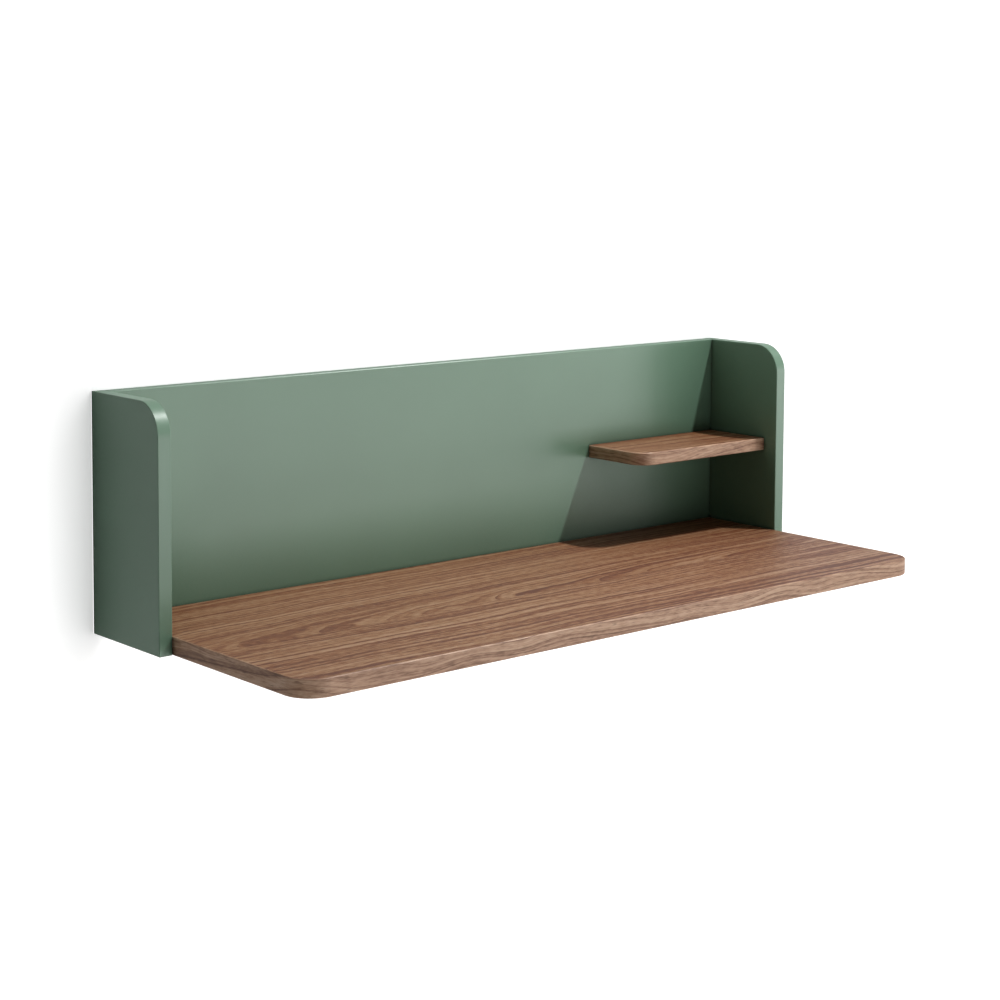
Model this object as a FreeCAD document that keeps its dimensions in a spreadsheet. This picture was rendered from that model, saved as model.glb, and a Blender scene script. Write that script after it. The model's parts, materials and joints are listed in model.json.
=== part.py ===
import FreeCAD
import Part
import os
import re
import Sketcher

# Floating wall desk: a lacquered back panel and two side panels hang on a wall
# rail and carry a veneered desk top and a small corner shelf.
# Frame: +X to the right, +Y into the wall, +Z up. The origin is the middle of
# the row of wall-rail fixing holes, on the wall's face.

# Driving dimensions, in millimetres.
SIZES = {
    # Shell
    "desk_width": 1200,
    "shell_height": 330,
    "side_depth": 168,
    "side_thickness": 20,
    "side_corner_radius": 45,
    "back_thickness": 20,
    "panel_arris": 0.8,
    # Desk top
    "top_projection": 460,
    "top_thickness": 24,
    "top_corner_radius": 40,
    # Shelf: its height is from the desk's underside to the shelf's upper face
    "shelf_length": 284,
    "shelf_depth": 122,
    "shelf_thickness": 20,
    "shelf_height": 175,
    "shelf_corner_radius": 30,
    # Layers of the veneered boards
    "veneer": 1,
    "edge_band": 2,
    "band_arris": 1,
    # Wall rail and hanging rail: the fixing holes are this far below the shell's top,
    # and the rails end this far from the side panels
    "fixing_drop": 68,
    "rail_inset": 100,
    "rail_gauge": 2,
    "rail_play": 0.4,
    "rail_lead_in": 0.5,
    "wall_flange_below": 14,
    "wall_flange_above": 8,
    "hook_reach": 11,
    "hook_floor_gap": 1,
    "hanger_flange": 24,
    "fixing_hole": 6,
    "fixing_inset": 80,
    # Rebate for the rails in the rear of the back panel
    "rebate_depth": 6,
    "rebate_end_room": 20,
    "rebate_margin": 2,
    "cutter_radius": 8,
    # Loose tongues, glued half into each of two boards, and the room at their grooves' floors
    "tongue_thickness": 5,
    "tongue_width": 18,
    "tongue_room": 0.5,
    "back_tongue_length": 220,
    "top_end_tongue_length": 60,
    "top_rear_tongue_length": 300,
    "shelf_tongue_length": 70,
    # Cams, their bolts and their cover caps
    "cam_diameter": 15,
    "cam_axis": 4.5,
    "cam_setback": 24,
    "cam_slot_width": 2,
    "cam_slot_length": 9,
    "cam_slot_depth": 3,
    "cam_head_gap": 0.5,
    "bolt_thread": 6,
    "bolt_thread_length": 11,
    "bolt_shank": 5,
    "bolt_head": 7,
    "bolt_head_length": 3,
    "bolt_bore": 8,
    "cap_height": 2,
    # Countersunk screws
    "hanger_screw": 4,
    "hanger_screw_length": 14,
    "hanger_screw_inset": 30,
    "panel_screw": 4.5,
    "panel_screw_length": 50,
    # Places of the fastenings: heights from the desk's underside, depths from the wall's face,
    # insets from the boards' ends
    "back_tongue_height": 55,
    "top_cam_depth": 60,
    "top_end_tongue_depth": 90,
    "top_screw_inset": 80,
    "shelf_tongue_depth": 42,
    "shelf_screw_inset": 60,
    # Clearance of a fitted piece in its bore, on the radius, and overrun of a cut
    "fit_clearance": 0.1,
    "overrun": 5,
}

# Head width of a countersunk screw as a share of its shank, and screws in the hanging rail.
HEAD_SHARE = 2
HANGER_SCREWS = 4

# Places and sizes worked out from the driving dimensions.
DERIVED = {
    "half_width": "desk_width / 2",
    "inner_right": "half_width - side_thickness",
    "inner_left": "-inner_right",
    "shell_top": "fixing_drop",
    "underside": "shell_top - shell_height",
    "side_front": "-side_depth",
    "board_rear": "-back_thickness",
    # Desk top outline
    "top_front": "-top_projection",
    "top_core_left": "inner_left + edge_band",
    "top_core_right": "inner_right - edge_band",
    "top_core_front": "top_front + edge_band",
    "top_core_radius": "top_corner_radius - edge_band",
    # Shelf outline
    "shelf_left": "inner_right - shelf_length",
    "shelf_front": "-back_thickness - shelf_depth",
    "shelf_core_left": "shelf_left + edge_band",
    "shelf_core_front": "shelf_front + edge_band",
    "shelf_core_radius": "shelf_corner_radius - edge_band",
    "shelf_underside": "underside + shelf_height - shelf_thickness",
    # Outlines that a cut runs past where a board has no edge band
    "rear_past": "overrun - back_thickness",
    "right_past": "inner_right + overrun",
    # Desk top fastenings along the back panel: a tongue lies midway between two screws
    "top_screw_pitch": "inner_right - top_screw_inset",
    "top_rear_tongue_offset": "top_screw_pitch / 2",
    # Wall rail section
    "rail_length": "2 * inner_right - 2 * rail_inset",
    "fixing_spread_outer": "rail_length - 2 * fixing_inset",
    "fixing_spread_inner": "fixing_spread_outer / 2",
    "base_front": "-rail_gauge",
    "rail_bottom": "-wall_flange_below",
    "web_top": "wall_flange_above + rail_gauge",
    "hook_rear": "-rail_gauge - 2 * rail_play",
    "hook_front": "hook_rear - rail_gauge",
    "hook_top": "web_top + hook_floor_gap + hook_reach",
    # Hanging rail section
    "tongue_tip": "web_top + hook_floor_gap",
    "tongue_rear": "-rail_play",
    "tongue_front": "-rail_play - rail_gauge",
    "hanger_front": "-rebate_depth",
    "hanger_rear": "rail_gauge - rebate_depth",
    "hanger_web_top": "hook_top + rail_gauge",
    "hanger_top": "hook_top + hanger_flange",
    "hanger_screw_height": "(hanger_web_top + hanger_top) / 2",
    "hanger_screw_pitch": f"(rail_length - 2 * hanger_screw_inset) / {HANGER_SCREWS - 1}",
    # Rebate: room above the hanging rail, and below the wall rail when the desk is lifted off
    "lift_travel": "hook_reach + hook_floor_gap",
    "rebate_right": "rail_length / 2 + rebate_end_room",
    "rebate_left": "-rebate_right",
    "rebate_bottom": "rail_bottom - lift_travel - rebate_margin",
    "rebate_top": "hanger_top + rebate_margin",
    # Cams reach from their cover caps to just past the bolts at the desk top's half thickness
    "cam_pocket": "top_thickness / 2 + cam_axis",
    "cam_height": "cam_pocket - cap_height",
}

doc = FreeCAD.newDocument("FloatingWallDesk")
sheet = doc.addObject("Spreadsheet::Sheet", "Sizes")
for row, (alias, number) in enumerate(SIZES.items(), start=1):
    sheet.set(f"A{row}", alias)
    sheet.set(f"B{row}", str(number))
    sheet.setAlias(f"B{row}", alias)
for row, (alias, rule) in enumerate(DERIVED.items(), start=len(SIZES) + 1):
    sheet.set(f"A{row}", alias)
    sheet.set(f"B{row}", f"={rule}")
    sheet.setAlias(f"B{row}", alias)
doc.recompute()


def size(name):
    """Value of a named size, or zero for the frame's own planes."""
    return 0.0 if name == "0" else float(sheet.get(name))


def formula(text):
    """Expression on the sheet for a formula written in size names."""
    return re.sub(r"[a-z][a-z_]*", r"Sizes.\g<0>", text)


AXES = {"X": FreeCAD.Vector(1, 0, 0), "Y": FreeCAD.Vector(0, 1, 0), "Z": FreeCAD.Vector(0, 0, 1)}


def vector(way):
    """Unit vector of a direction such as +X or -Z."""
    return AXES[way[1]] if way[0] == "+" else -AXES[way[1]]


def opposite(way):
    return ("-" if way[0] == "+" else "+") + way[1]


def moved(point, way, distance):
    """Point, as three formulas, moved along an axis by a formula's length."""
    place = list(point)
    index = "XYZ".index(way[1])
    place[index] = f"{place[index]} {way[0]} ({distance})"
    return tuple(place)


def put(thing, point, rotation):
    """Turn an object and bind its place to the sheet."""
    thing.Placement = FreeCAD.Placement(FreeCAD.Vector(), rotation)
    for axis, place in zip("xyz", point):
        thing.setExpression(f"Placement.Base.{axis}", formula(place))


def new_sketch(body, plane, offset):
    """Empty sketch on one of the body's own planes, raised along its normal."""
    sketch = body.newObject("Sketcher::SketchObject", f"{body.Name}Sketch")
    support = [item for item in body.Origin.OriginFeatures if item.Role == plane][0]
    sketch.AttachmentSupport = [(support, "")]
    sketch.MapMode = "FlatFace"
    sketch.setExpression("AttachmentOffset.Base.z", formula(offset))
    return sketch


def bind(sketch, constraint, name):
    """Add a constraint whose value is a named size."""
    index = sketch.addConstraint(constraint)
    if name != "0":
        label = f"{name}_{index}"
        sketch.renameConstraint(index, label)
        sketch.setExpression(f"Constraints.{label}", formula(name))


def draw(sketch, corners):
    """Closed anticlockwise outline of runs along the sketch's axes.

    A corner is the names of its two coordinates and, where it is round, of its radius.
    """
    count = len(corners)
    points = [FreeCAD.Vector(size(corner[0]), size(corner[1]), 0) for corner in corners]
    radii = [size(corner[2]) if len(corner) > 2 else 0.0 for corner in corners]
    ways = [(points[(i + 1) % count] - points[i]).normalize() for i in range(count)]
    for i in range(count):
        start = points[i] + ways[i] * radii[i]
        end = points[(i + 1) % count] - ways[i] * radii[(i + 1) % count]
        sketch.addGeometry(Part.LineSegment(start, end))
    for i in range(count):
        upright = corners[i][0] == corners[(i + 1) % count][0]
        sketch.addConstraint(Sketcher.Constraint("Vertical" if upright else "Horizontal", i))
        name = corners[i][0] if upright else corners[i][1]
        kind = "DistanceX" if upright else "DistanceY"
        bind(sketch, Sketcher.Constraint(kind, -1, 1, i, 1, size(name)), name)
    for i in range(count):
        before = (i - 1) % count
        if not radii[i]:
            sketch.addConstraint(Sketcher.Constraint("Coincident", before, 2, i, 1))
            continue
        centre = points[i] - ways[before] * radii[i] + ways[i] * radii[i]
        middle = centre + (points[i] - centre).normalize() * radii[i]
        entry = points[i] - ways[before] * radii[i]
        leave = points[i] + ways[i] * radii[i]
        arc = sketch.addGeometry(Part.Arc(entry, middle, leave))
        sketch.addConstraint(Sketcher.Constraint("Tangent", before, 2, arc, 1))
        sketch.addConstraint(Sketcher.Constraint("Tangent", arc, 2, i, 1))
        bind(sketch, Sketcher.Constraint("Radius", arc, radii[i]), corners[i][2])


def slab(name, plane, offset, corners, thickness):
    """Body padded from an outline; returns the body and its pad."""
    body = doc.addObject("PartDesign::Body", name)
    sketch = new_sketch(body, plane, offset)
    draw(sketch, corners)
    pad = body.newObject("PartDesign::Pad", f"{name}Pad")
    pad.Profile = sketch
    pad.setExpression("Length", formula(thickness))
    doc.recompute()
    return body, pad


def ease(body, feature, width, wanted):
    """Chamfer the edges of a body's last feature that a test on the edge picks."""
    names = [f"Edge{i}" for i, edge in enumerate(feature.Shape.Edges, start=1) if wanted(edge)]
    chamfer = body.newObject("PartDesign::Chamfer", f"{body.Name}Eased")
    chamfer.Base = (feature, names)
    chamfer.setExpression("Size", formula(width))
    doc.recompute()
    return chamfer


def flat_along(edge, axis):
    """Whether an edge lies in a plane square to an axis."""
    box = edge.BoundBox
    return {"X": box.XLength, "Y": box.YLength, "Z": box.ZLength}[axis] < Part.Precision.confusion()


def rod(radius, length, start, way):
    """Round bar from a start point along an axis."""
    bar = doc.addObject("Part::Cylinder", "Rod")
    bar.setExpression("Radius", formula(radius))
    bar.setExpression("Height", formula(length))
    put(bar, start, FreeCAD.Rotation(AXES["Z"], vector(way)))
    return bar


def cone(radius_start, radius_end, length, start, way):
    """Tapered bar from a start point along an axis."""
    bar = doc.addObject("Part::Cone", "Taper")
    bar.setExpression("Radius1", formula(radius_start))
    bar.setExpression("Radius2", formula(radius_end))
    bar.setExpression("Height", formula(length))
    put(bar, start, FreeCAD.Rotation(AXES["Z"], vector(way)))
    return bar


def block(length, width, height, corner):
    """Box from its lowest corner."""
    box = doc.addObject("Part::Box", "Block")
    box.setExpression("Length", formula(length))
    box.setExpression("Width", formula(width))
    box.setExpression("Height", formula(height))
    put(box, corner, FreeCAD.Rotation())
    return box


def fuse(name, pieces):
    whole = doc.addObject("Part::MultiFuse", name)
    whole.Shapes = pieces
    return whole


def cut(name, base, tools):
    """Piece with cuts taken out of it."""
    piece = doc.addObject("Part::Cut", name)
    piece.Base = base
    piece.Tool = fuse(f"{name}Cuts", tools) if len(tools) > 1 else tools[0]
    return piece


# Cuts collected for each piece, and the placed copies of each fastener group.
cuts = {}
groups = {}
sub_parts = {}


def bore(pieces, radius, mouth, depth, way):
    """Round hole from its mouth into each of the pieces."""
    start = moved(mouth, opposite(way), "overrun")
    for piece in pieces:
        cuts.setdefault(piece, []).append(rod(radius, f"{depth} + overrun", start, way))


def copy_to(group, master, point, rotation):
    """One more copy of a fastener in its group."""
    link = doc.addObject("App::Link", f"{group}_copy")
    link.LinkedObject = master
    put(link, point, rotation)
    groups.setdefault(group, []).append(link)


def add(name, thing):
    """Register a finished piece, with its cuts taken out."""
    if name in cuts:
        thing = cut(name, thing, cuts[name])
    thing.Label = name
    sub_parts[name] = thing


# Fasteners, each made once along +Z from its own origin
def make_bolt():
    """Cam bolt: thread in the panel, then a shank and a head that the cam draws in."""
    thread = rod("bolt_thread / 2", "bolt_thread_length", ("0", "0", "0"), "+Z")
    shank_length = "cam_setback - bolt_head_length"
    shank = rod("bolt_shank / 2", shank_length, ("0", "0", "bolt_thread_length"), "+Z")
    head_start = f"bolt_thread_length + {shank_length}"
    head = rod("bolt_head / 2", "bolt_head_length", ("0", "0", head_start), "+Z")
    return fuse("CamBolt", [thread, shank, head])


def make_cam():
    """Cam: a drum with a cross slot on top and a side bore for the bolt's head, towards +X."""
    drum = rod("cam_diameter / 2", "cam_height", ("0", "0", "0"), "+Z")
    slot_floor = "cam_height - cam_slot_depth"
    slot_height = "cam_slot_depth + overrun"
    along = block("cam_slot_length", "cam_slot_width", slot_height,
                  ("-cam_slot_length / 2", "-cam_slot_width / 2", slot_floor))
    across = block("cam_slot_width", "cam_slot_length", slot_height,
                   ("-cam_slot_width / 2", "-cam_slot_length / 2", slot_floor))
    side = rod("bolt_head / 2 + fit_clearance", "cam_diameter / 2 + cam_head_gap + overrun",
               ("-cam_head_gap", "0", "cam_axis"), "+X")
    return cut("Cam", drum, [along, across, side])


def make_cap():
    return rod("cam_diameter / 2", "cap_height", ("0", "0", "0"), "+Z")


def make_screw(name, shank, length):
    """Countersunk screw from its head's flat face to its blunt end."""
    radius = f"{shank} / 2"
    head_radius = f"{HEAD_SHARE} * {shank} / 2"
    head_height = f"({HEAD_SHARE} - 1) * {shank} / 2"
    head = cone(head_radius, radius, head_height, ("0", "0", "0"), "+Z")
    stem = rod(radius, f"{length} - {head_height}", ("0", "0", head_height), "+Z")
    return fuse(name, [head, stem])


cam_bolt = make_bolt()
cam = make_cam()
cam_cap = make_cap()
hanger_screw = make_screw("HangerScrew", "hanger_screw", "hanger_screw_length")
panel_screw = make_screw("PanelScrew", "panel_screw", "panel_screw_length")


def join_with_tongue(name, centre, spans, across, pieces):
    """Loose tongue about a joint's plane, in a groove that is half in each of the pieces.

    The spans are its sizes along X, Y and Z, and across is the axis of its width.
    """
    corner = [f"{middle} - {span} / 2" for middle, span in zip(centre, spans)]
    add(name, block(*spans, corner))
    rooms = ["tongue_room" if axis == across else "fit_clearance" for axis in "XYZ"]
    groove_corner = [f"{start} - {room}" for start, room in zip(corner, rooms)]
    groove_spans = [f"{span} + 2 * {room}" for span, room in zip(spans, rooms)]
    for piece in pieces:
        cuts.setdefault(piece, []).append(block(*groove_spans, groove_corner))


def join_with_cam(point, way, panel):
    """Bolt screwed into a side panel's face and held by a cam in the desk top's underside."""
    along = FreeCAD.Rotation(AXES["Z"], vector(way))
    bore([panel], "bolt_thread / 2 + fit_clearance", point, "bolt_thread_length", opposite(way))
    bore(["desk_top_core", "desk_top_edge_band"], "bolt_bore / 2", point, "cam_setback", way)
    copy_to("desk_top_cam_bolts", cam_bolt, moved(point, opposite(way), "bolt_thread_length"), along)
    over = moved(point, way, "cam_setback")
    mouth = (over[0], over[1], "underside")
    bore(["desk_top_core", "desk_top_lower_veneer"], "cam_diameter / 2 + fit_clearance",
         mouth, "cam_pocket", "+Z")
    towards, down = vector(opposite(way)), vector("-Z")
    turned = FreeCAD.Rotation(towards, down.cross(towards), down, "ZXY")
    copy_to("desk_top_cams", cam, moved(mouth, "+Z", "cam_pocket"), turned)
    copy_to("desk_top_cam_caps", cam_cap, mouth, FreeCAD.Rotation())


def sink_screw(group, screw, shank, length, head_face, seat, thread):
    """Flush countersunk screw towards the room: conical seat in one piece, thread bore in the next."""
    way = "-Y"
    radius = f"{shank} / 2 + fit_clearance"
    head_radius = f"{HEAD_SHARE} * {shank} / 2 + fit_clearance"
    head_height = f"({HEAD_SHARE} - 1) * {shank} / 2"
    bore([seat, thread], radius, head_face, length, way)
    cuts[seat].append(cone(head_radius, radius, head_height, head_face, way))
    copy_to(group, screw, head_face, FreeCAD.Rotation(AXES["Z"], vector(way)))


# Fastenings of the desk's three boards to each other
top_middle = "underside + top_thickness / 2"
top_end = ["desk_top_core", "desk_top_edge_band"]
for side, joint, inward in (("left", "inner_left", "+X"), ("right", "inner_right", "-X")):
    panel = f"{side}_side_panel"
    back_tongue = (joint, "-back_thickness / 2", "underside + back_tongue_height + back_tongue_length / 2")
    join_with_tongue(f"back_panel_{side}_tongue", back_tongue,
                     ("tongue_width", "tongue_thickness", "back_tongue_length"), "X", ["back_panel", panel])
    top_tongue = (joint, "-top_end_tongue_depth - top_end_tongue_length / 2", top_middle)
    join_with_tongue(f"desk_top_{side}_tongue", top_tongue,
                     ("tongue_width", "top_end_tongue_length", "tongue_thickness"), "X", [panel, *top_end])
    join_with_cam((joint, "-top_cam_depth", top_middle), inward, panel)
for side, sign in (("left", "-"), ("right", "")):
    rear_tongue = (f"{sign}top_rear_tongue_offset", "board_rear", top_middle)
    join_with_tongue(f"desk_top_rear_{side}_tongue", rear_tongue,
                     ("top_rear_tongue_length", "tongue_width", "tongue_thickness"), "Y",
                     ["back_panel", "desk_top_core"])
for place in ("-top_screw_pitch", "0", "top_screw_pitch"):
    sink_screw("desk_top_screws", panel_screw, "panel_screw", "panel_screw_length",
               (place, "0", top_middle), "back_panel", "desk_top_core")

# Fastenings of the shelf
shelf_middle = "shelf_underside + shelf_thickness / 2"
shelf_tongue = ("inner_right", "-shelf_tongue_depth - shelf_tongue_length / 2", shelf_middle)
join_with_tongue("shelf_tongue", shelf_tongue,
                 ("tongue_width", "shelf_tongue_length", "tongue_thickness"), "X",
                 ["right_side_panel", "shelf_core"])
for place in ("shelf_left + shelf_screw_inset", "inner_right - shelf_screw_inset"):
    sink_screw("shelf_screws", panel_screw, "panel_screw", "panel_screw_length",
               (place, "0", shelf_middle), "back_panel", "shelf_core")

# Holes of the rails
for spread in ("fixing_spread_outer", "fixing_spread_inner"):
    for sign in ("-", ""):
        bore(["wall_rail"], "fixing_hole / 2", (f"{sign}{spread} / 2", "0", "0"),
             "rail_gauge + overrun", "-Y")
for step in range(1 - HANGER_SCREWS, HANGER_SCREWS, 2):
    place = f"{step} * hanger_screw_pitch / 2"
    sink_screw("hanging_rail_screws", hanger_screw, "hanger_screw", "hanger_screw_length",
               (place, "hanger_rear", "hanger_screw_height"), "hanging_rail", "back_panel")


def make_back_panel():
    """Back panel between the sides, with a routed rebate for the rails in its rear."""
    body, pad = slab("BackPanel", "XZ_Plane", "0", [
        ("inner_left", "underside"),
        ("inner_right", "underside"),
        ("inner_right", "shell_top"),
        ("inner_left", "shell_top"),
    ], "back_thickness")
    eased = ease(body, pad, "panel_arris", lambda edge: flat_along(edge, "Y") and flat_along(edge, "Z"))
    sketch = new_sketch(body, "XZ_Plane", "0")
    draw(sketch, [
        ("rebate_left", "rebate_bottom", "cutter_radius"),
        ("rebate_right", "rebate_bottom", "cutter_radius"),
        ("rebate_right", "rebate_top", "cutter_radius"),
        ("rebate_left", "rebate_top", "cutter_radius"),
    ])
    rebate = body.newObject("PartDesign::Pocket", "RailRebate")
    rebate.Profile = sketch
    rebate.Reversed = True
    rebate.setExpression("Length", formula("rebate_depth"))
    doc.recompute()
    if rebate.Shape.Volume >= eased.Shape.Volume:
        raise RuntimeError("the rail rebate cut nothing")
    add("back_panel", body)


def make_side_panel(name, outer):
    """Side panel, from the wall forwards, with a round upper front corner and eased edges."""
    body, pad = slab(f"{name}_board", "YZ_Plane", outer, [
        ("side_front", "underside"),
        ("0", "underside"),
        ("0", "shell_top"),
        ("side_front", "shell_top", "side_corner_radius"),
    ], "side_thickness")
    ease(body, pad, "panel_arris", lambda edge: flat_along(edge, "X"))
    add(name, body)


def hidden(edge, corners):
    """Whether an edge runs between two of the square corners, where the board meets a panel."""
    ends = [vertex.Point for vertex in edge.Vertexes]
    near = Part.Precision.confusion()
    return all(
        any(abs(end.x - size(x)) < near and abs(end.y - size(y)) < near for x, y in corners)
        for end in ends
    )


def make_board(name, outline, core_outline, past_outline, underside, thickness):
    """Veneered board: core, veneer on both faces and a band round its free edges."""
    layers = (
        ("lower_veneer", underside, "veneer"),
        ("core", f"{underside} + veneer", f"{thickness} - 2 * veneer"),
        ("upper_veneer", f"{underside} + {thickness} - veneer", "veneer"),
    )
    for layer, bottom, height in layers:
        body, _ = slab(f"{name}_{layer}_sheet", "XY_Plane", bottom, core_outline, height)
        add(f"{name}_{layer}", body)
    blank, pad = slab(f"{name}_band_blank", "XY_Plane", underside, outline, thickness)
    square = [corner for corner in outline if len(corner) < 3]
    ease(blank, pad, "band_arris", lambda edge: flat_along(edge, "Z") and not hidden(edge, square))
    inside, _ = slab(f"{name}_band_inside", "XY_Plane", f"{underside} - overrun", past_outline,
                     f"{thickness} + 2 * overrun")
    band = cut(f"{name}_band", blank, [inside])
    add(f"{name}_edge_band", band)


def make_rail(name, section, lead_in):
    """Rail extruded from its section, with the edges that meet first chamfered as a lead-in."""
    body, pad = slab(f"{name}_profile", "YZ_Plane", "-rail_length / 2", section, "rail_length")
    level = size(lead_in)
    ease(body, pad, "rail_lead_in", lambda edge: flat_along(edge, "Y") and flat_along(edge, "Z")
         and abs(edge.BoundBox.ZMin - level) < Part.Precision.confusion())
    add(name, body)


make_back_panel()
make_side_panel("left_side_panel", "-half_width")
make_side_panel("right_side_panel", "inner_right")

make_board(
    "desk_top",
    [
        ("inner_left", "top_front", "top_corner_radius"),
        ("inner_right", "top_front", "top_corner_radius"),
        ("inner_right", "board_rear"),
        ("inner_left", "board_rear"),
    ],
    [
        ("top_core_left", "top_core_front", "top_core_radius"),
        ("top_core_right", "top_core_front", "top_core_radius"),
        ("top_core_right", "board_rear"),
        ("top_core_left", "board_rear"),
    ],
    [
        ("top_core_left", "top_core_front", "top_core_radius"),
        ("top_core_right", "top_core_front", "top_core_radius"),
        ("top_core_right", "rear_past"),
        ("top_core_left", "rear_past"),
    ],
    "underside", "top_thickness",
)

make_board(
    "shelf",
    [
        ("shelf_left", "shelf_front", "shelf_corner_radius"),
        ("inner_right", "shelf_front"),
        ("inner_right", "board_rear"),
        ("shelf_left", "board_rear"),
    ],
    [
        ("shelf_core_left", "shelf_core_front", "shelf_core_radius"),
        ("inner_right", "shelf_core_front"),
        ("inner_right", "board_rear"),
        ("shelf_core_left", "board_rear"),
    ],
    [
        ("shelf_core_left", "shelf_core_front", "shelf_core_radius"),
        ("right_past", "shelf_core_front"),
        ("right_past", "rear_past"),
        ("shelf_core_left", "rear_past"),
    ],
    "shelf_underside", "shelf_thickness",
)

make_rail("wall_rail", [
    ("base_front", "rail_bottom"),
    ("0", "rail_bottom"),
    ("0", "web_top"),
    ("hook_rear", "web_top"),
    ("hook_rear", "hook_top"),
    ("hook_front", "hook_top"),
    ("hook_front", "wall_flange_above"),
    ("base_front", "wall_flange_above"),
], "hook_top")

make_rail("hanging_rail", [
    ("tongue_front", "tongue_tip"),
    ("tongue_rear", "tongue_tip"),
    ("tongue_rear", "hanger_web_top"),
    ("hanger_rear", "hanger_web_top"),
    ("hanger_rear", "hanger_top"),
    ("hanger_front", "hanger_top"),
    ("hanger_front", "hook_top"),
    ("tongue_front", "hook_top"),
], "tongue_tip")

for name, copies in groups.items():
    fasteners = doc.addObject("Part::Compound", name)
    fasteners.Links = copies
    add(name, fasteners)

doc.recompute()

failed = [item.Label for item in doc.Objects if {"Invalid", "Error"} & set(item.State)]
failed += [name for name, item in sub_parts.items() if item.Shape.isNull() or not item.Shape.isValid()]
if failed:
    raise RuntimeError("pieces that did not build: " + ", ".join(failed))

os.makedirs("parts", exist_ok=True)
for name, item in sub_parts.items():
    item.Shape.exportStep(f"parts/{name}.step")
    print(name, len(item.Shape.Solids), round(item.Shape.Volume, 1))
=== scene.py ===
import json
import math

import bpy
from mathutils import Euler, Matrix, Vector


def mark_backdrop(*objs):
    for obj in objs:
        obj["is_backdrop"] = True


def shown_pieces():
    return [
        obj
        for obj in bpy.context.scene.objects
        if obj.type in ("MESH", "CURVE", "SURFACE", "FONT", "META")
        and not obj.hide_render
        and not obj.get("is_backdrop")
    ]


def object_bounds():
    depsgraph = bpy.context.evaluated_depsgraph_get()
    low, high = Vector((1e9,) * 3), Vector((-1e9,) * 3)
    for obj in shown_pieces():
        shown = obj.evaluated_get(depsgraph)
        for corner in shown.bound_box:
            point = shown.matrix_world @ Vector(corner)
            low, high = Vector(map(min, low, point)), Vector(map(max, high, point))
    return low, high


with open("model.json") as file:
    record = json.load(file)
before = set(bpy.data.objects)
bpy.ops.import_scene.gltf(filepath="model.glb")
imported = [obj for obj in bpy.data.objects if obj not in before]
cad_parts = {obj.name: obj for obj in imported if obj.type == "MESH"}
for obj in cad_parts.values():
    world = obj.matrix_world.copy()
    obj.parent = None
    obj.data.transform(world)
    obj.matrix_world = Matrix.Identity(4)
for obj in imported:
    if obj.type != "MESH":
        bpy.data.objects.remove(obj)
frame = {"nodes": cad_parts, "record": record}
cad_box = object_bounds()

# Camera: focal length and sight point are in pixels of the image
IMAGE_SIDE = 1000.0
CAMERA_PLACE = (-1.98677, -2.44733, 0.41396)
CAMERA_YAW = 0.71105
CAMERA_PITCH = -0.07980
CAMERA_ROLL = 0.00566
CAMERA_FOCAL = 2075.67
CAMERA_SIGHT = (500.0, 300.0)
CAMERA_RANGE = 50.0
SENSOR = 36.0

# Lamps: place, the point that the lamp faces, width, height and power in watts
FLOOR_LEVEL = -1.02
AIM = (0.0, -0.2, -0.12)
OBJECT_LAMPS = {
    "key_lamp": ((1.06, -0.72, 1.68), (-3.0, -0.2, 1.2), 0.18, 0.18, 95.0),
    "front_lamp": ((0.87, -3.05, -0.49), AIM, 3.4, 0.6, 25.0),
    "side_lamp": ((2.51, -0.87, -0.12), AIM, 2.4, 0.8, 18.0),
    "floor_lamp": ((0.0, -1.19, -0.89), AIM, 2.4, 0.8, 6.0),
}
REAR_LAMPS = {
    "rear_lamp": ((0.93, 2.35, -0.22), AIM, 3.0, 0.5, 36.0),
}
WALL_LAMPS = {
    "wall_lamp": ((0.2, -3.39, 0.65), AIM, 1.6, 2.8, 80.0),
}
FLOOR_LAMPS = {
    "floor_wash": ((2.1, -0.6, 2.2), (0.0, -0.3, FLOOR_LEVEL), 1.4, 1.0, 110.0),
}
WALL_SHADES = ("left_side_panel", "right_side_panel", "back_panel")
AMBIENT = 0.045

# Stage: a glow is the whiteness to the eye near the desk, which turns all white between the fade distances
WALL_GAP = 0.0006
WALL_REACH = 7.0
WALL_GLOW = 0.47
WALL_FADE = (1.0, 1.8)
FLOOR_REACH = 30.0
FLOOR_GLOW = 0.55
FLOOR_FADE = (1.4, 2.6)
GLOSS_SHARE = 0.15
PALE = (0.9, 0.9, 0.9, 1.0)
PALE_IN_GLOSS = (0.65, 0.65, 0.65, 1.0)
WHITE = (1.0, 1.0, 1.0, 1.0)
BLACK = (0.0, 0.0, 0.0, 1.0)

# Painted shade: corners between pieces, and the contact lines where they meet, are darkened in colour and
# gloss by their share of open view; an open range is the share of open view at both ends
CORNER_REACH = 0.16
CORNER_OPEN_RANGE = (0.35, 0.75)
CORNER_SHADE = 0.22
CORNER_GLOSS_SHADE = 0.75
CONTACT_SHADE_REACH = 0.006
CONTACT_SHADE_OPEN_RANGE = (0.5, 0.95)
CONTACT_SHADE = 0.6
SIGHT_SAMPLES = 4

# Sockets of the mix node that carry colours
MIX_FIRST = 6
MIX_SECOND = 7
MIX_RESULT = 2


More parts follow.
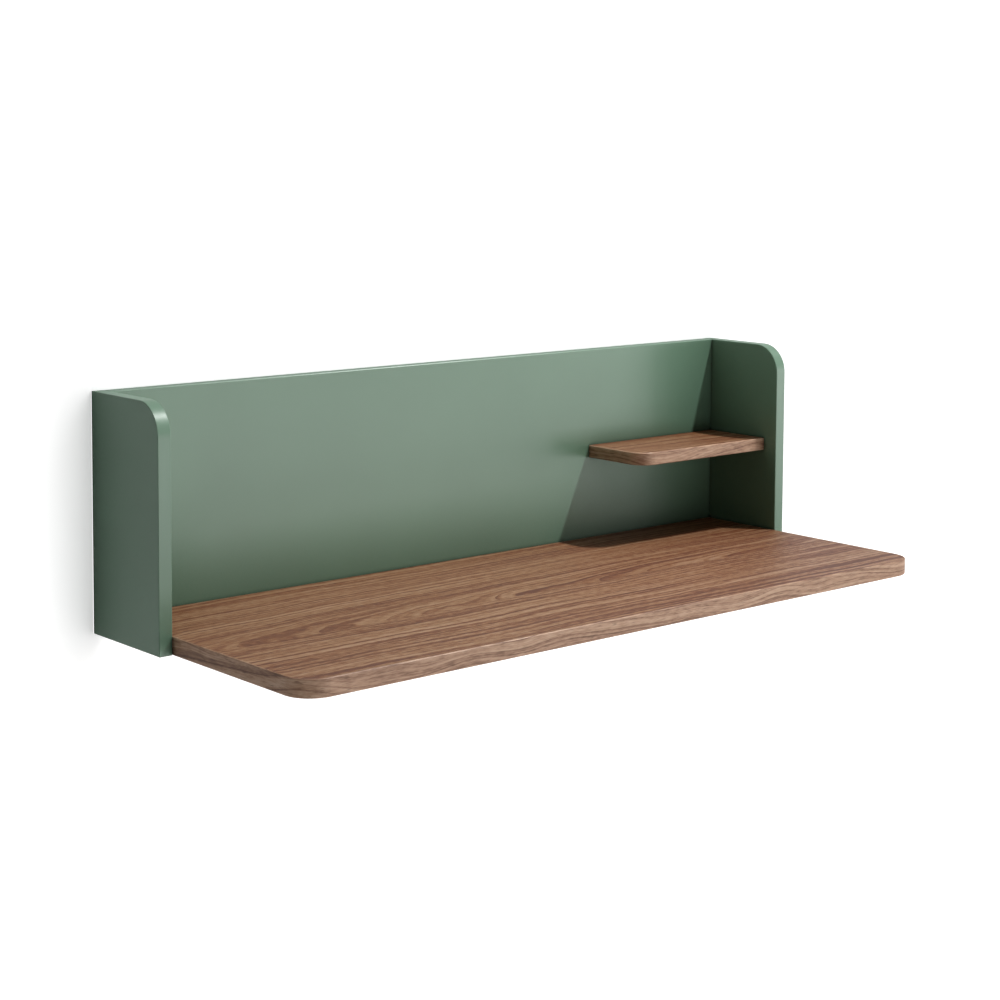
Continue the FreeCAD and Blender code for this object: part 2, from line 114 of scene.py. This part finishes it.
class Graph:
    """Node tree of one material or of the world."""

    def __init__(self, tree):
        self.tree = tree
        tree.nodes.clear()

    def add(self, kind, inputs=None, **settings):
        """New node with its settings; an input is a value or another node's socket."""
        node = self.tree.nodes.new(kind)
        for name, value in settings.items():
            setattr(node, name, value)
        for name, value in (inputs or {}).items():
            self.feed(node.inputs[name], value)
        return node

    def feed(self, socket, value):
        if isinstance(value, bpy.types.NodeSocket):
            self.tree.links.new(value, socket)
        else:
            socket.default_value = value

    def calc(self, operation, *values):
        node = self.add("ShaderNodeMath", operation=operation)
        for socket, value in zip(node.inputs, values):
            self.feed(socket, value)
        return node.outputs[0]

    def times(self, value, factor):
        return self.calc("MULTIPLY", value, factor)

    def total(self, *values):
        result = values[0]
        for value in values[1:]:
            result = self.calc("ADD", result, value)
        return result

    def place(self):
        """The object's own coordinates as three sockets."""
        place = self.add("ShaderNodeTexCoord").outputs["Object"]
        return self.add("ShaderNodeSeparateXYZ", {"Vector": place}).outputs[:]

    def point(self, x, y, z):
        return self.add("ShaderNodeCombineXYZ", {"X": x, "Y": y, "Z": z}).outputs[0]

    def grained(self, grain):
        """The object's own place with each axis drawn out by its share."""
        return self.point(*(self.times(axis, share) for axis, share in zip(self.place(), grain)))

    def noise(self, vector, scale=1.0, detail=2.0, roughness=0.5):
        inputs = {"Vector": vector, "Scale": scale, "Detail": detail, "Roughness": roughness}
        return self.add("ShaderNodeTexNoise", inputs).outputs[0]

    def centred(self, noise):
        return self.calc("SUBTRACT", noise, 0.5)

    def wander(self, value, amount, *coordinates):
        """A value moved up and down by slow noise."""
        noise = self.noise(self.point(*coordinates))
        return self.calc("MULTIPLY_ADD", self.centred(noise), amount, value)

    def ramp(self, factor, stops):
        node = self.add("ShaderNodeValToRGB", {"Fac": factor})
        elements = node.color_ramp.elements
        while len(elements) < len(stops):
            elements.new(1.0)
        for element, (position, colour) in zip(elements, stops):
            element.position = position
            element.color = (*colour, 1.0)
        return node.outputs["Color"]

    def remap(self, value, low, high, to_low, to_high):
        inputs = {"Value": value, "From Min": low, "From Max": high, "To Min": to_low, "To Max": to_high}
        return self.add("ShaderNodeMapRange", inputs).outputs[0]

    def mix(self, factor, first, second):
        node = self.add("ShaderNodeMix", {"Factor": factor}, data_type="RGBA")
        self.feed(node.inputs[MIX_FIRST], first)
        self.feed(node.inputs[MIX_SECOND], second)
        return node.outputs[MIX_RESULT]

    def bump(self, height, strength, distance):
        inputs = {"Height": height, "Strength": strength, "Distance": distance}
        return self.add("ShaderNodeBump", inputs).outputs[0]

    def corners(self, reach, open_range):
        """Mask of painted shade: one in the corners where pieces meet, zero on open surfaces."""
        sight = self.add("ShaderNodeAmbientOcclusion", {"Distance": reach}, samples=SIGHT_SAMPLES)
        return self.remap(sight.outputs["AO"], *open_range, 1.0, 0.0)

    def shaded(self, colour, gloss):
        """A colour and a gloss darkened by painted shade in the corners and along the contact lines where
        pieces meet.
        """
        corners = self.corners(CORNER_REACH, CORNER_OPEN_RANGE)
        # painted contact shadow: a thin dark line along each contact between pieces
        contact_shade_mask = self.corners(CONTACT_SHADE_REACH, CONTACT_SHADE_OPEN_RANGE)
        shade = self.calc("MAXIMUM", self.times(corners, CORNER_SHADE), self.times(contact_shade_mask, CONTACT_SHADE))
        dark = self.mix(shade, colour, BLACK)
        # painted shade on reflections: the gloss falls off in the same corners and contacts, not a matt
        # finish
        matt = self.calc("MAXIMUM", corners, contact_shade_mask)
        return dark, self.calc("MULTIPLY_ADD", matt, -CORNER_GLOSS_SHADE * gloss, gloss)

    def seen_by_eye(self, gloss_share=1.0):
        """One for what the camera sees, straight or through glass, a share in gloss, zero otherwise."""
        ray = self.add("ShaderNodeLightPath").outputs
        gloss = self.times(ray["Is Glossy Ray"], gloss_share)
        clear = self.calc("MAXIMUM", ray["Is Camera Ray"], ray["Is Transmission Ray"])
        return self.calc("MAXIMUM", clear, gloss)

    def surface(self, colour, roughness, normal, **others):
        """Principled surface on the material's output."""
        inputs = {"Base Color": colour, "Roughness": roughness, "Normal": normal}
        shader = self.add("ShaderNodeBsdfPrincipled", inputs)
        for name, value in others.items():
            self.feed(shader.inputs[name.replace("_", " ")], value)
        self.add("ShaderNodeOutputMaterial", {"Surface": shader.outputs[0]})


def new_material(name):
    material = bpy.data.materials.new(name)
    material.use_nodes = True
    return material, Graph(material.node_tree)


def srgb(code):
    """Linear colour of a hexadecimal display colour."""
    parts = [int(code[i:i + 2], 16) / 255 for i in (0, 2, 4)]
    return tuple(p / 12.92 if p <= 0.04045 else ((p + 0.055) / 1.055) ** 2.4 for p in parts)


# Lacquer: scales are per metre, a bump is its strength and its depth
CLOUD_SCALE = 4.0
CLOUD_DETAIL = 3.0
CLOUD_RANGE = (0.3, 0.7)
CLOUD_CHANGE = 0.05
SPECK_SCALE = 260.0
SPECK_RANGE = (0.2, 0.8)
PEEL_SCALE = 420.0
PEEL_DETAIL = 2.0
PEEL_ROUGHNESS = 0.4
PEEL_BUMP = (0.05, 0.0004)
LACQUER_ROUGHNESS = (0.29, 0.37)
LACQUER_GLOSS = 0.65


def lacquer(name, colour):
    """Satin lacquer on board: faint cloudiness, fine spray texture."""
    material, g = new_material(name)
    where = g.point(*g.place())
    cloud = g.remap(g.noise(where, CLOUD_SCALE, CLOUD_DETAIL), *CLOUD_RANGE, 0.0, 1.0)
    deep = tuple(part * (1.0 - CLOUD_CHANGE) for part in colour)
    pale = tuple(part * (1.0 + CLOUD_CHANGE) for part in colour)
    # the lacquer's colour and gloss get painted shade in corners and at contacts between pieces
    shade, gloss = g.shaded(g.mix(cloud, (*deep, 1.0), (*pale, 1.0)), LACQUER_GLOSS)
    roughness = g.remap(g.noise(where, SPECK_SCALE), *SPECK_RANGE, *LACQUER_ROUGHNESS)
    peel = g.bump(g.noise(where, PEEL_SCALE, PEEL_DETAIL, PEEL_ROUGHNESS), *PEEL_BUMP)
    g.surface(shade, roughness, peel, Specular_IOR_Level=gloss)
    return material


# Walnut colours from dark to light by tone
WALNUT = [
    (0.30, srgb("50230d")),
    (0.42, srgb("6b3b1c")),
    (0.52, srgb("7f5536")),
    (0.64, srgb("936d4f")),
    (0.78, srgb("a48067")),
]
WALNUT_EDGE = [
    (0.30, srgb("6e5242")),
    (0.42, srgb("906e59")),
    (0.53, srgb("ae8b72")),
    (0.66, srgb("bf9f86")),
]
PORE = (*srgb("3d2416"), 1.0)

# Walnut layers: noise per metre across the grain and along it, and the share in the tone
RING_LAYERS = {
    "zone": (26.0, 0.6, 0.25),
    "ring": (110.0, 1.2, 0.50),
    "fine": (240.0, 2.5, 0.50),
}
BOARD_LAYERS = {
    "fleck": (300.0, 60.0, 0.36),
    "fibre": (1500.0, 16.0, 0.18),
}
STREAK_ROUGHNESS = 0.6

# Late wood: dark lines per metre of growth, how the zones sway them, and where they are weak and strong
LATE_PITCH = 125.0
LATE_SWAY = 2.5
LATE_SHARPNESS = 4.0
LATE_SCALE = (60.0, 1.0)
LATE_RANGE = (0.4, 0.62)
LATE_STRENGTH = (0.08, 0.22)

# Pores and the surface that they leave
PORE_SCALE = (800.0, 50.0)
PORE_DETAIL = 1.0
PORE_RANGE = (0.62, 0.72)
PORE_SHARE = 0.45
FIBRE_HEIGHT_SHARE = 0.3
WALNUT_BUMP = (0.25, 0.0003)
WALNUT_TONE_RANGE = (0.3, 0.65)
WALNUT_ROUGHNESS = (0.56, 0.46)


def walnut(material, g, palette, ring, along, across, layer, contrast, middle, gloss):
    """Oiled walnut from its growth-ring coordinate: zones, late ring lines, flecks, fibres and pores."""
    def streaks(value, frequency, stretch, detail=2.0):
        place = g.point(g.times(value, frequency), g.times(along, stretch), layer)
        return g.noise(place, 1.0, detail, STREAK_ROUGHNESS)

    parts = {}
    tones = []
    for value, layers in ((ring, RING_LAYERS), (across, BOARD_LAYERS)):
        for name, (frequency, stretch, share) in layers.items():
            parts[name] = streaks(value, frequency, stretch)
            tones.append(g.times(g.centred(parts[name]), share))
    phase = g.calc("MULTIPLY_ADD", parts["zone"], LATE_SWAY, g.times(ring, LATE_PITCH))
    late = g.calc("POWER", g.calc("FRACT", phase), LATE_SHARPNESS)
    strength = g.remap(streaks(ring, *LATE_SCALE), *LATE_RANGE, *LATE_STRENGTH)
    tone = g.calc("SUBTRACT", g.total(*tones), g.times(late, strength))
    tone = g.calc("MULTIPLY_ADD", tone, contrast, middle)
    pore = g.remap(streaks(across, *PORE_SCALE, PORE_DETAIL), *PORE_RANGE, 0.0, 1.0)
    colour = g.mix(g.times(pore, PORE_SHARE), g.ramp(tone, palette), PORE)
    # the walnut's colour and gloss get painted shade in corners and at contacts between pieces
    colour, gloss = g.shaded(colour, gloss)
    roughness = g.remap(tone, *WALNUT_TONE_RANGE, *WALNUT_ROUGHNESS)
    height = g.calc("SUBTRACT", g.times(parts["fibre"], FIBRE_HEIGHT_SHARE), pore)
    g.surface(colour, roughness, g.bump(height, *WALNUT_BUMP), Specular_IOR_Level=gloss)
    return material


# Crown-cut figure: its middle line, and the depth of the ring centre under it, which falls to the right
FIGURE_MIDDLE = -0.272
FIGURE_DEPTH = 0.0515
FIGURE_FALL = 0.075

# In front of the middle line the rings turn within the hook's width to a depth and a pitch of their own
HOOK_WIDTH = 0.03
FRONT_DEPTH = 0.1
FRONT_PITCH = 0.55

# Sways of the figure: amount in metres, and waves per metre along and across the board
SIDE_SWAYS = ((0.03, 2.5, 3.0), (0.008, 14.0, 40.0))
DEPTH_SWAY = (0.02, 8.0, 8.0)

# Contrast and middle tone from the front to the rear, and the tone that the right-hand part loses
CONTRAST_PLACES = (-0.36, -0.14)
CONTRASTS = (1.8, 1.25)
TONE_PLACES = (-0.22, -0.04)
TONES = (0.55, 0.54)
RIGHT_PLACES = (0.05, 0.35)
RIGHT_LOSS = 0.03
FACE_LAYER_PITCH = 9.0
FACE_GLOSS = 0.65


def walnut_face(name):
    """Crown-cut veneer: hooked rings behind its middle line, straight ones in front of it."""
    material, g = new_material(name)
    x, y, z = g.place()
    side = g.calc("SUBTRACT", y, FIGURE_MIDDLE)
    for amount, along, across in SIDE_SWAYS:
        side = g.wander(side, amount, g.times(x, along), g.times(y, across), z)
    rear = g.calc("MAXIMUM", side, 0.0)
    front = g.calc("MAXIMUM", g.times(side, -1.0), 0.0)
    amount, along, across = DEPTH_SWAY
    depth = g.calc("MULTIPLY_ADD", x, -FIGURE_FALL, FIGURE_DEPTH)
    depth = g.wander(depth, amount, g.times(x, along), g.times(y, across), z)
    turned = g.remap(front, 0.0, HOOK_WIDTH, 0.0, 1.0)
    depth = g.calc("MULTIPLY_ADD", turned, g.calc("SUBTRACT", FRONT_DEPTH, depth), depth)
    ring = g.calc("SQRT", g.total(g.times(rear, rear), g.times(depth, depth)))
    ring = g.calc("MULTIPLY_ADD", front, FRONT_PITCH, ring)
    contrast = g.remap(y, *CONTRAST_PLACES, *CONTRASTS)
    middle = g.total(g.remap(y, *TONE_PLACES, *TONES), g.remap(x, *RIGHT_PLACES, 0.0, -RIGHT_LOSS))
    layer = g.times(z, FACE_LAYER_PITCH)
    return walnut(material, g, WALNUT, ring, x, y, layer, contrast, middle, FACE_GLOSS)


# Edge band: drift of its grain in metres, and waves per metre along and across the band
BAND_DRIFT = (0.11, 2.6, 6.0)
BAND_LAYER_PITCH = 0.8
BAND_CONTRAST = 1.0
BAND_TONE = 0.535
BAND_GLOSS = 0.28


def walnut_band(name):
    """Edge band: the grain runs round the board and drifts across the band."""
    material, g = new_material(name)
    x, y, z = g.place()
    run = g.calc("SUBTRACT", x, y)
    amount, along, across = BAND_DRIFT
    ring = g.wander(z, amount, g.times(run, along), g.times(z, across), 0.0)
    layer = g.times(x, BAND_LAYER_PITCH)
    return walnut(material, g, WALNUT_EDGE, ring, run, z, layer, BAND_CONTRAST, BAND_TONE, BAND_GLOSS)


# Materials that hardly show: a grain is how far the texture is drawn out on each axis
EVEN_GRAIN = (1.0, 1.0, 1.0)
LENGTHWISE_GRAIN = (0.01, 1.0, 1.0)
LAYERED_GRAIN = (0.1, 0.1, 1.0)
TEXTURE_DETAIL = 3.0
TEXTURE_ROUGHNESS = 0.6
TEXTURE_RANGE = (0.3, 0.7)


def two_tones(dark, light, places=TEXTURE_RANGE):
    return list(zip(places, (srgb(dark), srgb(light))))


# Raw board
BOARD_SCALE = 400.0
BOARD_TONE_PLACES = (0.35, 0.65)
BOARD_ROUGHNESS = (0.8, 0.65)
BOARD_BUMP = (0.2, 0.0003)


def plain_board(name, dark, light, grain):
    """Raw board or plywood: fibre flecks drawn out along a grain."""
    material, g = new_material(name)
    fleck = g.noise(g.grained(grain), BOARD_SCALE, TEXTURE_DETAIL, TEXTURE_ROUGHNESS)
    colour = g.ramp(fleck, two_tones(dark, light, BOARD_TONE_PLACES))
    g.surface(colour, g.remap(fleck, *TEXTURE_RANGE, *BOARD_ROUGHNESS), g.bump(fleck, *BOARD_BUMP))
    return material


# Metal
METAL_SCALE = 900.0
METAL_BUMP = (0.08, 0.0002)
RAIL_ROUGHNESS = (0.40, 0.54)
CAM_ROUGHNESS = (0.39, 0.53)
STEEL_ROUGHNESS = (0.24, 0.38)


def metal(name, dark, light, roughness, grain):
    """Bare or plated metal with drawing lines along a grain."""
    material, g = new_material(name)
    line = g.noise(g.grained(grain), METAL_SCALE, TEXTURE_DETAIL, TEXTURE_ROUGHNESS)
    colour = g.ramp(line, two_tones(dark, light))
    g.surface(colour, g.remap(line, *TEXTURE_RANGE, *roughness), g.bump(line, *METAL_BUMP), Metallic=1.0)
    return material


# Plastic
PLASTIC_SCALE = 1500.0
PLASTIC_ROUGHNESS = (0.45, 0.6)
PLASTIC_BUMP = (0.15, 0.0002)


def plastic(name, dark, light):
    """Moulded plastic with a fine eroded texture."""
    material, g = new_material(name)
    grain = g.noise(g.point(*g.place()), PLASTIC_SCALE)
    colour = g.ramp(grain, two_tones(dark, light))
    g.surface(colour, g.remap(grain, *TEXTURE_RANGE, *PLASTIC_ROUGHNESS), g.bump(grain, *PLASTIC_BUMP))
    return material


materials = {
    "green_lacquer": lacquer("green_lacquer", srgb("617f6a")),
    "walnut_veneer": walnut_face("walnut_veneer"),
    "walnut_edge": walnut_band("walnut_edge"),
    "core_board": plain_board("core_board", "8a6a48", "b08f66", EVEN_GRAIN),
    "beech_plywood": plain_board("beech_plywood", "b58d63", "d3b189", LAYERED_GRAIN),
    "rail_aluminium": metal("rail_aluminium", "a9acaf", "c6c8ca", RAIL_ROUGHNESS, LENGTHWISE_GRAIN),
    "cam_zinc": metal("cam_zinc", "9a9a98", "bcbcba", CAM_ROUGHNESS, EVEN_GRAIN),
    "fastener_steel": metal("fastener_steel", "a9a79c", "cfcdc2", STEEL_ROUGHNESS, EVEN_GRAIN),
    "cap_plastic": plastic("cap_plastic", "43301f", "54402e"),
}

for subpart in frame["record"]["subparts"]:
    piece = frame["nodes"][subpart["node"]]
    piece.data.materials.clear()
    piece.data.materials.append(materials[subpart["material_slot"]])


def stage_material(name, glow, fade):
    """Pale matt surface that keeps shadows, is white to the eye and clear from behind."""
    material, g = new_material(name)
    place = g.point(*g.place())
    distance = g.add("ShaderNodeVectorMath", {0: place}, operation="LENGTH").outputs["Value"]
    white = g.times(g.seen_by_eye(GLOSS_SHARE), g.remap(distance, *fade, glow, 1.0))
    in_gloss = g.add("ShaderNodeLightPath").outputs["Is Glossy Ray"]
    matt = g.add("ShaderNodeBsdfDiffuse", {"Color": g.mix(in_gloss, PALE, PALE_IN_GLOSS)}).outputs[0]
    shine = g.add("ShaderNodeEmission", {"Strength": white}).outputs[0]
    front = g.add("ShaderNodeAddShader", {0: matt, 1: shine}).outputs[0]
    clear = g.add("ShaderNodeBsdfTransparent").outputs[0]
    behind = g.add("ShaderNodeNewGeometry").outputs["Backfacing"]
    both = g.add("ShaderNodeMixShader", {0: behind, 1: front, 2: clear}).outputs[0]
    g.add("ShaderNodeOutputMaterial", {"Surface": both})
    return material


def add_mesh(name, points, faces, material):
    mesh = bpy.data.meshes.new(name)
    mesh.from_pydata(points, [], faces)
    mesh.materials.append(material)
    thing = bpy.data.objects.new(name, mesh)
    bpy.context.scene.collection.objects.link(thing)
    return thing


def make_wall():
    """Wall with an opening behind the desk, so that the desk's rear isn't blacked out."""
    low, high = cad_box
    xs = (-WALL_REACH, low.x, high.x, WALL_REACH)
    zs = (FLOOR_LEVEL, low.z, high.z, WALL_REACH)
    points = [(x, WALL_GAP, z) for z in zs for x in xs]
    width = len(xs)
    cells = [(row, column) for row in range(len(zs) - 1) for column in range(width - 1)]
    starts = [row * width + column for row, column in cells if (row, column) != (1, 1)]
    faces = [(start, start + 1, start + width + 1, start + width) for start in starts]
    return add_mesh("wall", points, faces, stage_material("pale_wall", WALL_GLOW, WALL_FADE))


def make_floor():
    reach = FLOOR_REACH
    corners = [(-reach, -reach), (reach, -reach), (reach, reach), (-reach, reach)]
    points = [(x, y, FLOOR_LEVEL) for x, y in corners]
    return add_mesh("floor", points, [(0, 1, 2, 3)], stage_material("pale_floor", FLOOR_GLOW, FLOOR_FADE))


def group(name, things):
    """Collection of the things that a lamp lights or that shade its light."""
    members = bpy.data.collections.new(name)
    for thing in things:
        members.objects.link(thing)
    return members


def make_lamps(lamps, lit, shades=None):
    """Soft boxes for the things that they light; with shades, only those throw shadows in their light."""
    for name, (place, aim, width, height, power) in lamps.items():
        lamp = bpy.data.lights.new(name, "AREA")
        lamp.shape = "RECTANGLE"
        lamp.size = width
        lamp.size_y = height
        lamp.energy = power
        thing = bpy.data.objects.new(name, lamp)
        bpy.context.scene.collection.objects.link(thing)
        thing.location = place
        thing.rotation_euler = (Vector(place) - Vector(aim)).to_track_quat("Z", "Y").to_euler()
        thing.light_linking.receiver_collection = lit
        thing.light_linking.blocker_collection = shades
        thing.visible_camera = False


def make_world():
    """Soft ambient light; white where the eye or a mirror sees it."""
    world = bpy.data.worlds.new("studio")
    world.use_nodes = True
    bpy.context.scene.world = world
    g = Graph(world.node_tree)
    strength = g.calc("MULTIPLY_ADD", g.seen_by_eye(), 1.0 - AMBIENT, AMBIENT)
    back = g.add("ShaderNodeBackground", {"Color": WHITE, "Strength": strength}).outputs[0]
    g.add("ShaderNodeOutputWorld", {"Surface": back})


def make_camera():
    camera = bpy.data.cameras.new("camera")
    camera.sensor_width = SENSOR
    camera.lens = SENSOR * CAMERA_FOCAL / IMAGE_SIDE
    camera.shift_x = 0.5 - CAMERA_SIGHT[0] / IMAGE_SIDE
    camera.shift_y = CAMERA_SIGHT[1] / IMAGE_SIDE - 0.5
    camera.clip_end = CAMERA_RANGE
    thing = bpy.data.objects.new("camera", camera)
    bpy.context.scene.collection.objects.link(thing)
    thing.location = CAMERA_PLACE
    turn = Euler((math.pi / 2 + CAMERA_PITCH, 0.0, -CAMERA_YAW)).to_matrix()
    roll = Euler((0.0, 0.0, CAMERA_ROLL)).to_matrix()
    thing.rotation_euler = (turn @ roll).to_euler()
    bpy.context.scene.camera = thing


wall = make_wall()
floor = make_floor()
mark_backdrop(wall, floor)
make_world()
desk_pieces = group("desk_pieces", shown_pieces())
wall_shades = group("wall_shades", [frame["nodes"][name] for name in WALL_SHADES])
make_lamps(OBJECT_LAMPS, desk_pieces)
make_lamps(REAR_LAMPS, desk_pieces, desk_pieces)
make_lamps(WALL_LAMPS, group("lit_wall", [wall]), wall_shades)
make_lamps(FLOOR_LAMPS, group("lit_floor", [floor]), desk_pieces)
make_camera()
bpy.context.scene.view_settings.view_transform = "Standard"
